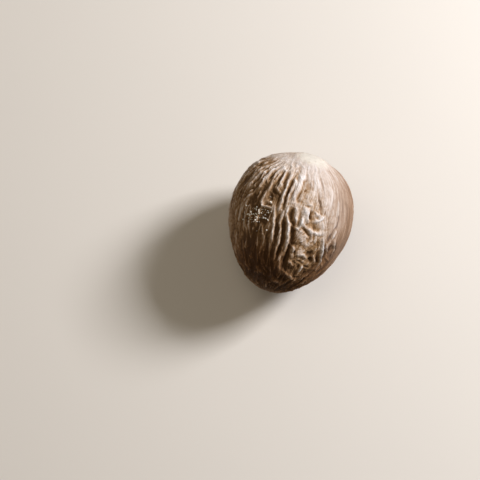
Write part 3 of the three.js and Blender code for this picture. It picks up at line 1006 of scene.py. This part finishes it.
@dataclass(frozen=True)
class KernelSkin:
    """The dry skin: dark grooves, pale rubbed crests, streaks along the grain, and the cream scar.

    Attributes:
        roughness, gloss: the shader's own values.
        bands: each tone after the groove's, and where it starts and is full from groove to crest.
        calm: the share by which the grain is weaker where the skin is smooth.
        speck_share, fibre_share, cloud_share: how much each noise changes the colour.
        thread_share: the same for the threads where the skin is smooth.
        pale_and_shade_share: how much a pale zone changes the colour; the zones paint light and shade
            beside the skin's own tone.
        streak_band, streak_share: where the dark streaks show, and how much.
        grey_rubbed_and_lit_band, grey_rubbed_and_lit_share: where smooth skin turns grey, and how much;
        partly painted light, greying the lit right flank as the light pales it.
        scar_reach: how far the scar's colour reaches, in degrees from its middle.
        scar_fray, scar_specks: how far its edge wanders, and how far specks spread from it.
        scar_band: over how many degrees within and beyond its edge it blends with the skin.
        worn_shares: how much the clouds, the specks and the streaks wear the scar.
        worn_band: where its colour turns worn.
        bumps: the strength and the height in millimetres of the fibres, streaks and specks.
    """

    roughness: float = 0.7
    gloss: float = 0.2
    bands: tuple[tuple[Tone, float, float], ...] = (
        (Tone.SKIN, -0.3, 0.45),
        (Tone.CREST, 0.2, 0.85),
        (Tone.CHALK, 0.7, 1.45),
    )
    calm: float = 0.6
    speck_share: float = 0.9
    fibre_share: float = 1.3
    cloud_share: float = 0.6
    thread_share: float = 1.6
    pale_and_shade_share: float = 0.35
    streak_band: Pair = (0.54, 0.66)
    streak_share: float = 0.6
    grey_rubbed_and_lit_band: Pair = (0.5, 1.0)
    grey_rubbed_and_lit_share: float = 0.3
    scar_reach: float = 13.8
    scar_fray: float = 10.0
    scar_specks: float = 8.0
    scar_band: Pair = (-4, 5)
    worn_shares: tuple[float, float, float] = (1.2, 1.0, 0.8)
    worn_band: Pair = (-0.02, 0.3)
    bumps: tuple[Pair, Pair, Pair] = ((0.45, 0.35), (0.4, 0.4), (0.9, 0.3))

    def brown(self, g: MaterialGraph, noise: SkinNoise, smooth: Signal, rough: Signal) -> Signal:
        """Colours the skin from its grooves to its crests.

        Args:
            g: the material's nodes.
            noise: the fine noises.
            smooth: how calm the grain is, from 0 to 1.
            rough: how strong the grain is.

        Returns:
            The colour.
        """
        pale = g.attribute("pale", "Fac")
        grain = (noise.specks - 0.5) * self.speck_share + (noise.fibres - 0.5) * self.fibre_share
        grain = grain + (noise.clouds - 0.5) * self.cloud_share
        threads = (noise.threads - 0.5) * smooth * self.thread_share
        level = g.attribute("crest", "Fac") + grain * rough + pale * self.pale_and_shade_share + threads
        skin: Any = Tone.GROOVE.value
        for tone, low, high in self.bands:
            skin = g.mix(level.ramp(low, high), skin, tone.value)
        streaks = noise.streaks.ramp(*self.streak_band) * self.streak_share
        skin = g.mix(streaks, skin, Tone.STREAK.value)
        # Partly painted light: the smooth, lit right flank is greyed as the light pales it, beside the
        # skin's own rubbed grey.
        skin = g.mix(smooth.ramp(*self.grey_rubbed_and_lit_band) * self.grey_rubbed_and_lit_share, skin, Tone.GREY_RUBBED_AND_LIT.value)
        # Painted shade: where the zones make the skin deeper, a warmer, deeper brown is multiplied in.
        return g.mix((0.0 - pale).ramp(0, 1), skin, Tone.SHADE_BROWN.value, "MULTIPLY")

    def with_scar(self, g: MaterialGraph, noise: SkinNoise, skin: Signal) -> Signal:
        """Adds the scar's colour.

        Args:
            g: the material's nodes.
            noise: the fine noises.
            skin: the colour outside the scar.

        Returns:
            The whole skin's colour.
        """
        edge = self.scar_reach - g.attribute("scar", "Fac")
        edge = edge + (noise.fray - 0.5) * self.scar_fray + (noise.specks - 0.5) * self.scar_specks
        clouds, specks, streaks = self.worn_shares
        worn = (noise.clouds - 0.5) * clouds + (noise.specks - 0.5) * specks
        worn = worn + (noise.streaks - 0.5) * streaks
        scar = g.mix(worn.ramp(*self.worn_band), Tone.SCAR.value, Tone.SCAR_WORN.value)
        return g.mix(edge.ramp(*self.scar_band), skin, scar)

    def material(self) -> bpy.types.Material:
        """Builds the skin's material.

        Returns:
            The material.
        """
        g = MaterialGraph("kernel_skin")
        noise = SkinNoise.over(g)
        smooth = g.attribute("smooth", "Fac")
        rough = 1.0 - smooth * self.calm
        normal: Signal | None = None
        for height, (strength, tall) in zip((noise.fibres, noise.streaks, noise.specks), self.bumps):
            normal = g.bump(height * rough, strength, tall * MM, normal)
        skin = self.with_scar(g, noise, self.brown(g, noise, smooth, rough))
        values = {"Base Color": skin, "Roughness": self.roughness, "Normal": normal}
        return g.finish({**values, "Specular IOR Level": self.gloss})


@dataclass(frozen=True)
class CrumbFlesh:
    """Dry, pale crumbs of the grated inside.

    Attributes:
        roughness, gloss: the shader's own values.
        grain: how fine its mottle is.
        band: where the mottle turns paler.
    """

    roughness: float = 0.85
    gloss: float = 0.2
    grain: float = 2500
    band: Pair = (0.4, 0.6)

    def material(self) -> bpy.types.Material:
        """Builds the crumbs' material.

        Returns:
            The material.
        """
        g = MaterialGraph("crumb_flesh")
        tint = g.noise(g.place(), self.grain, detail=2).ramp(*self.band)
        colour = g.mix(tint, Tone.CRUMB.value, Tone.CRUMB_PALE.value)
        values = {"Base Color": colour, "Roughness": self.roughness, "Specular IOR Level": self.gloss}
        return g.finish(values)


@dataclass(frozen=True)
class StudioFloor:
    """A plain pale floor with faint clouds.

    Attributes:
        roughness: the shader's own value.
        clouds: how fine the clouds are.
        cloud_share: how much of them shows.
    """

    roughness: float = 0.9
    clouds: float = 40
    cloud_share: float = 0.08

    def material(self) -> bpy.types.Material:
        """Builds the floor's material.

        Returns:
            The material.
        """
        g = MaterialGraph("studio_floor")
        clouds = g.noise(g.place(), self.clouds, detail=4) * self.cloud_share
        colour = g.mix(clouds, Tone.FLOOR.value, Tone.FLOOR_CLOUD.value)
        return g.finish({"Base Color": colour, "Roughness": self.roughness})


def add_piece(name: str, vertices: Array, faces: Iterable[tuple[int, ...]]) -> bpy.types.Object:
    """Adds a smooth-shaded mesh object to the scene.

    Args:
        name: the piece's name.
        vertices: its points, in metres.
        faces: each face's points, facing out.

    Returns:
        The new object.
    """
    mesh = bpy.data.meshes.new(name)
    mesh.from_pydata(vertices.tolist(), [], list(faces))
    mesh.validate()
    mesh.shade_smooth()
    piece = bpy.data.objects.new(name, mesh)
    bpy.context.scene.collection.objects.link(piece)
    return piece


@dataclass
class Kernel:
    """The kernel's skin, from its form.

    Attributes:
        form: the kernel's shape.
        rings: rings of points from tip to tip.
        ring_points: points of a ring near the waist; a ring half as long has half as many.
        fewest_points: the fewest points of any ring.
        halve_below: the girth below which a ring has half as many, as a share of the waist's.
        to_frame: the move from the kernel's middle to the solid's frame, in millimetres.
    """

    form: KernelForm = field(default_factory=KernelForm)
    rings: int = 244
    ring_points: int = 512
    fewest_points: int = 16
    halve_below: float = 0.95
    to_frame: Array = field(init=False, default_factory=lambda: np.zeros(3))

    def ring_sizes(self) -> list[int]:
        """Works out how many points each ring has.

        Returns:
            The numbers, from the scar's end to the far one.
        """
        sizes = []
        for i in range(1, self.rings):
            girth = math.sin(math.pi * i / self.rings)
            halvings = max(0, math.floor(math.log2(self.halve_below / girth)))
            sizes.append(max(self.fewest_points, self.ring_points >> halvings))
        return sizes

    def skin_spots(self, sizes: list[int]) -> Spots:
        """Works out where the skin's points lie.

        Args:
            sizes: how many points each ring has.

        Returns:
            The scar's tip, the rings and the far tip.
        """
        rows = [np.full(n, math.pi * (i + 1) / self.rings) for i, n in enumerate(sizes)]
        turns = [2 * math.pi * np.arange(n) / n for n in sizes]
        along = np.concatenate([[0.0], *rows, [math.pi]])
        around = np.concatenate([[0.0], *turns, [0.0]])
        return self.form.spots(along, around)

    def faces(self, sizes: list[int]) -> list[tuple[int, ...]]:
        """Joins each ring to the next, and the end rings to the tips.

        Where one ring has twice as many points as the other, each step has a triangle too.

        Args:
            sizes: how many points each ring has.

        Returns:
            Each face's points, facing out.
        """
        starts = [1 + sum(sizes[:i]) for i in range(len(sizes))]
        last, end = 1 + sum(sizes), starts[-1]
        faces: list[tuple[int, ...]] = [(0, 1 + (k + 1) % sizes[0], 1 + k) for k in range(sizes[0])]
        faces += [(last, end + k, end + (k + 1) % sizes[-1]) for k in range(sizes[-1])]
        for i in range(len(sizes) - 1):
            (a0, an), (b0, bn) = (starts[i], sizes[i]), (starts[i + 1], sizes[i + 1])
            steps = min(an, bn)
            ra, rb = an // steps, bn // steps
            for k in range(steps):
                a = [a0 + (ra * k + j) % an for j in range(3)]
                b = [b0 + (rb * k + j) % bn for j in range(3)]
                faces.append((a[0], a[1], b[1], b[0]))
                if rb == 2:
                    faces.append((a[1], b[2], b[1]))
                if ra == 2:
                    faces.append((a[1], a[2], b[1]))
        return faces

    def rested(self, points: Array) -> Array:
        """Flattens the lowest part, and notes the move to the solid's frame.

        Args:
            points: the skin's points, in millimetres from the kernel's middle.

        Returns:
            The points in the solid's frame, in metres.
        """
        low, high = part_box(KERNEL_NODE)
        floor = points[:, 2].min() + self.form.rest_cut
        points[:, 2] = np.maximum(points[:, 2], floor)
        middle = (points.min(0) + points.max(0)) / 2
        self.to_frame = np.array([-middle[0], -middle[1], -floor])
        solid = np.array((high - low) / MM)
        log.info("skin %s mm, solid %s mm", np.ptp(points, 0).round(2), solid.round(2))
        return (points + self.to_frame) * MM

    def build(self) -> bpy.types.Object:
        """Builds the skin with the values that its material reads, in the solid's place.

        Returns:
            The kernel's piece.
        """
        sizes = self.ring_sizes()
        spots = self.skin_spots(sizes)
        relief = self.form.relief(spots)
        points = self.rested(self.form.points(spots, relief["rise"]))
        skin = add_piece("kernel", points, self.faces(sizes))
        # pale carries painted light and shade, beside the kernel's own paler patches, to the material.
        for name in ("crest", "pale", "smooth", "scar"):
            values = skin.data.attributes.new(name, "FLOAT", "POINT")
            values.data.foreach_set("value", relief[name].astype(np.float32))
        flow = skin.data.attributes.new("flow", "FLOAT_VECTOR", "POINT")
        flow.data.foreach_set("vector", relief["flow"].astype(np.float32).ravel())
        skin.data.materials.append(KernelSkin().material())
        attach(skin, BODY)
        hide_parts(KERNEL_NODE)
        return skin


@dataclass
class Crumbs:
    """A pinch of crumbs from a grated kernel, lying on the skin.

    Attributes:
        kernel: the kernel that they lie on.
        count: how many there are.
        strays: how many of them lie apart from the pinch.
        middle: the pinch's middle, in degrees about and from the scar.
        spread: how far it reaches along and across its long direction, in degrees.
        lean: how far its long direction turns from across the grain, in degrees.
        stray_reach: how much further the strays reach.
        jitter: how far a crumb's place is turned at random, in radians.
        sizes: the smallest and largest crumb's half width, in millimetres.
        fewer_large: how much rarer the large ones are; 1 is as many of each.
        dents: the least and most that a point of a crumb is pushed in or out, as a share.
        presses: the same for the whole crumb's three widths.
        lift: how high its middle sits over the skin, as a share of its half width.
        seed: where the row of draws starts.
    """

    kernel: Kernel
    count: int = 74
    strays: int = 22
    middle: Pair = (121.5, 83.5)
    spread: Pair = (12.5, 6.5)
    lean: float = 25
    stray_reach: float = 2.4
    jitter: float = 0.5
    sizes: Pair = (0.066, 0.18)
    fewer_large: float = 1.5
    dents: Pair = (0.6, 1.25)
    presses: tuple[Pair, Pair, Pair] = ((0.5, 1.3), (0.6, 1.1), (0.4, 0.9))
    lift: float = 1.05
    seed: int = 97

    def places(self, draws: Draws) -> Spots:
        """Draws where the crumbs lie.

        Args:
            draws: the row of draws.

        Returns:
            Their places, the strays' first.
        """
        lean = math.radians(self.lean)
        around, along = [], []
        for i in range(self.count):
            if i < self.strays:
                reach = self.stray_reach * math.sqrt(draws.next())
                turn = 2 * math.pi * draws.next()
            else:
                reach = math.sqrt((i - self.strays + draws.next()) / (self.count - self.strays))
                turn = GOLDEN_ANGLE * i + draws.between(-self.jitter, self.jitter)
            u = self.spread[0] * reach * math.cos(turn)
            v = self.spread[1] * reach * math.sin(turn)
            around.append(self.middle[0] + u * math.cos(lean) - v * math.sin(lean))
            along.append(self.middle[1] + u * math.sin(lean) + v * math.cos(lean))
        return self.kernel.form.spots(np.radians(along), np.radians(around))

    def crumb(self, draws: Draws, ball: Array) -> Array:
        """Makes one crumb: a ball pressed, dented and turned at random.

        Args:
            draws: the row of draws.
            ball: the points of a ball with a radius of 1.

        Returns:
            The crumb's points, in millimetres from its middle.
        """
        smallest, largest = self.sizes
        size = smallest * (largest / smallest) ** (draws.next() ** self.fewer_large)
        dents = np.array([draws.between(*self.dents) for _ in ball])
        press = np.array([draws.between(*limits) for limits in self.presses])
        turns = [Matrix.Rotation(2 * math.pi * draws.next(), 3, axis) for axis in "XZ"]
        return (ball * dents[:, None] * press * size) @ np.array(turns[0] @ turns[1])

    def ball(self) -> tuple[Array, list[tuple[int, ...]]]:
        """Makes the ball that every crumb starts from.

        Returns:
            Its points and its faces.
        """
        mesh = bmesh.new()
        bmesh.ops.create_icosphere(mesh, subdivisions=2, radius=1)
        points = np.array([v.co for v in mesh.verts])
        faces = [tuple(v.index for v in f.verts) for f in mesh.faces]
        mesh.free()
        return points, faces

    def build(self) -> bpy.types.Object:
        """Builds all the crumbs as one piece.

        Returns:
            The crumbs' piece.
        """
        draws = Draws(self.seed)
        spots = self.places(draws)
        form = self.kernel.form
        ground = form.points(spots, form.relief(spots)["rise"]) + self.kernel.to_frame
        ball, ball_faces = self.ball()
        points, faces = [], []
        for spot, out in zip(ground, spots.direction):
            crumb = self.crumb(draws, ball)
            lift = np.linalg.norm(crumb, axis=1).mean() * self.lift
            faces += [tuple(len(points) * len(ball) + v for v in f) for f in ball_faces]
            points.append((crumb + spot + out * lift) * MM)
        piece = add_piece("grated_crumbs", np.concatenate(points), faces)
        piece.data.materials.append(CrumbFlesh().material())
        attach(piece, BODY)
        return piece


@dataclass
class PhotoView:
    """The camera where the photograph's stood, and how the kernel fills its frame.

    Attributes:
        azimuth, elevation: where the camera stands, in radians.
        distance: how far from the kernel's middle, in metres.
        frame_px: the picture's width and height, in pixels.
        kernel_px: the kernel's middle in the picture, from its upper left.
        kernel_width_px: the kernel's width in the picture.
        kernel_width: the same width, in metres.
        clip_start: the nearest that the camera shows, in metres.
    """

    azimuth: float = math.radians(17.2)
    elevation: float = math.radians(75)
    distance: float = 0.25
    frame_px: float = 480
    kernel_px: Pair = (287.7, 223.1)
    kernel_width_px: float = 120.2
    kernel_width: float = 20.4 * MM
    clip_start: float = 0.01

    def axes(self) -> tuple[Vector, Vector, Vector]:
        """Works out the picture's directions.

        Returns:
            Its right, its top, and back to the camera.
        """
        a, e = self.azimuth, self.elevation
        back = Vector((math.sin(a) * math.cos(e), -math.cos(a) * math.cos(e), math.sin(e)))
        right = Vector((math.cos(a), math.sin(a), 0))
        return right, back.cross(right), back

    def build(self, middle: Vector) -> bpy.types.Object:
        """Adds the camera so that the kernel's middle falls where the photograph has it.

        Args:
            middle: the kernel's middle.

        Returns:
            The camera.
        """
        right, up, back = self.axes()
        per_pixel = self.kernel_width / self.kernel_width_px
        half = self.frame_px / 2
        aside = (self.kernel_px[0] - half) * per_pixel
        above = (half - self.kernel_px[1]) * per_pixel
        data = bpy.data.cameras.new("camera")
        data.lens = data.sensor_width * self.distance / (self.frame_px * per_pixel)
        data.clip_start = self.clip_start
        camera = bpy.data.objects.new("camera", data)
        at = Matrix.Translation(middle - aside * right - above * up + self.distance * back)
        camera.matrix_world = at @ Matrix((right, up, back)).transposed().to_4x4()
        bpy.context.scene.collection.objects.link(camera)
        bpy.context.scene.camera = camera
        return camera


@dataclass(frozen=True)
class Lamp:
    """A square area light that faces the kernel's middle.

    Attributes:
        name: the light's name.
        towards: its direction from there, as shares of the picture's right, top and back.
        distance: how far away it is, in metres.
        size: its side, in metres.
        power: its power, in watts.
        colour: its colour, as linear red, green and blue.
    """

    name: str
    towards: tuple[float, float, float]
    distance: float
    size: float
    power: float
    colour: Colour

    def build(self, middle: Vector, view: PhotoView) -> bpy.types.Object:
        """Adds the light.

        Args:
            middle: the kernel's middle.
            view: the camera's place, which gives the picture's directions.

        Returns:
            The light.
        """
        right, up, back = view.axes()
        aside, above, nearer = self.towards
        away = (aside * right + above * up + nearer * back).normalized()
        at = middle + self.distance * away
        data = bpy.data.lights.new(self.name, "AREA")
        data.size, data.energy, data.color = self.size, self.power, self.colour
        lamp = bpy.data.objects.new(self.name, data)
        turn = (at - middle).to_track_quat("Z", "Y").to_matrix().to_4x4()
        lamp.matrix_world = Matrix.Translation(at) @ turn
        bpy.context.scene.collection.objects.link(lamp)
        return lamp


@dataclass
class Studio:
    """A pale floor and soft lights: a large key from the picture's upper right, and a weak fill.

    Attributes:
        floor_size: the floor's side, in metres.
        warm: the colour of the fill and of the light from all around.
        world_light: how strong the light from all around is.
        key, fill: the two lamps.
    """

    floor_size: float = 3.0
    warm: Colour = (1.0, 0.88, 0.7)
    world_light: float = 0.1
    key: Lamp = Lamp("key", (0.74, 0.48, 0.47), 0.34, 0.1, 1.82, (1.0, 0.985, 1.0))
    fill: Lamp = Lamp("fill", (-0.3, 0.3, 0.9), 0.4, 0.3, 0.42, warm)

    def build(self, middle: Vector, view: PhotoView) -> bpy.types.Object:
        """Adds the floor, the lights and the world.

        Args:
            middle: the kernel's middle.
            view: the camera's place, which the lamps are set by.

        Returns:
            The floor.
        """
        half = self.floor_size / 2
        corners = np.array([(-half, -half, 0), (half, -half, 0), (half, half, 0), (-half, half, 0)])
        floor = add_piece("floor", corners, [(0, 1, 2, 3)])
        floor.data.materials.append(StudioFloor().material())
        floor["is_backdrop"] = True
        for lamp in (self.key, self.fill):
            lamp.build(middle, view)
        world = bpy.data.worlds.new("studio")
        world.use_nodes = True
        background = world.node_tree.nodes["Background"]
        background.inputs["Color"].default_value = (*self.warm, 1)
        background.inputs["Strength"].default_value = self.world_light
        bpy.context.scene.world = world
        return floor


def main() -> None:
    """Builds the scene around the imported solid."""
    logging.basicConfig(level=logging.INFO, format="%(name)s: %(message)s")
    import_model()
    solid_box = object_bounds()
    middle = (solid_box[0] + solid_box[1]) / 2
    view = PhotoView()
    view.build(middle)
    kernel = Kernel()
    for piece in (kernel.build(), Crumbs(kernel).build(), Studio().build(middle, view)):
        triangles = sum(len(face.vertices) - 2 for face in piece.data.polygons)
        log.info("%s: %d points, %d triangles", piece.name, len(piece.data.vertices), triangles)
    bpy.context.scene.view_settings.view_transform = "Standard"


if __name__ == "__main__":
    main()
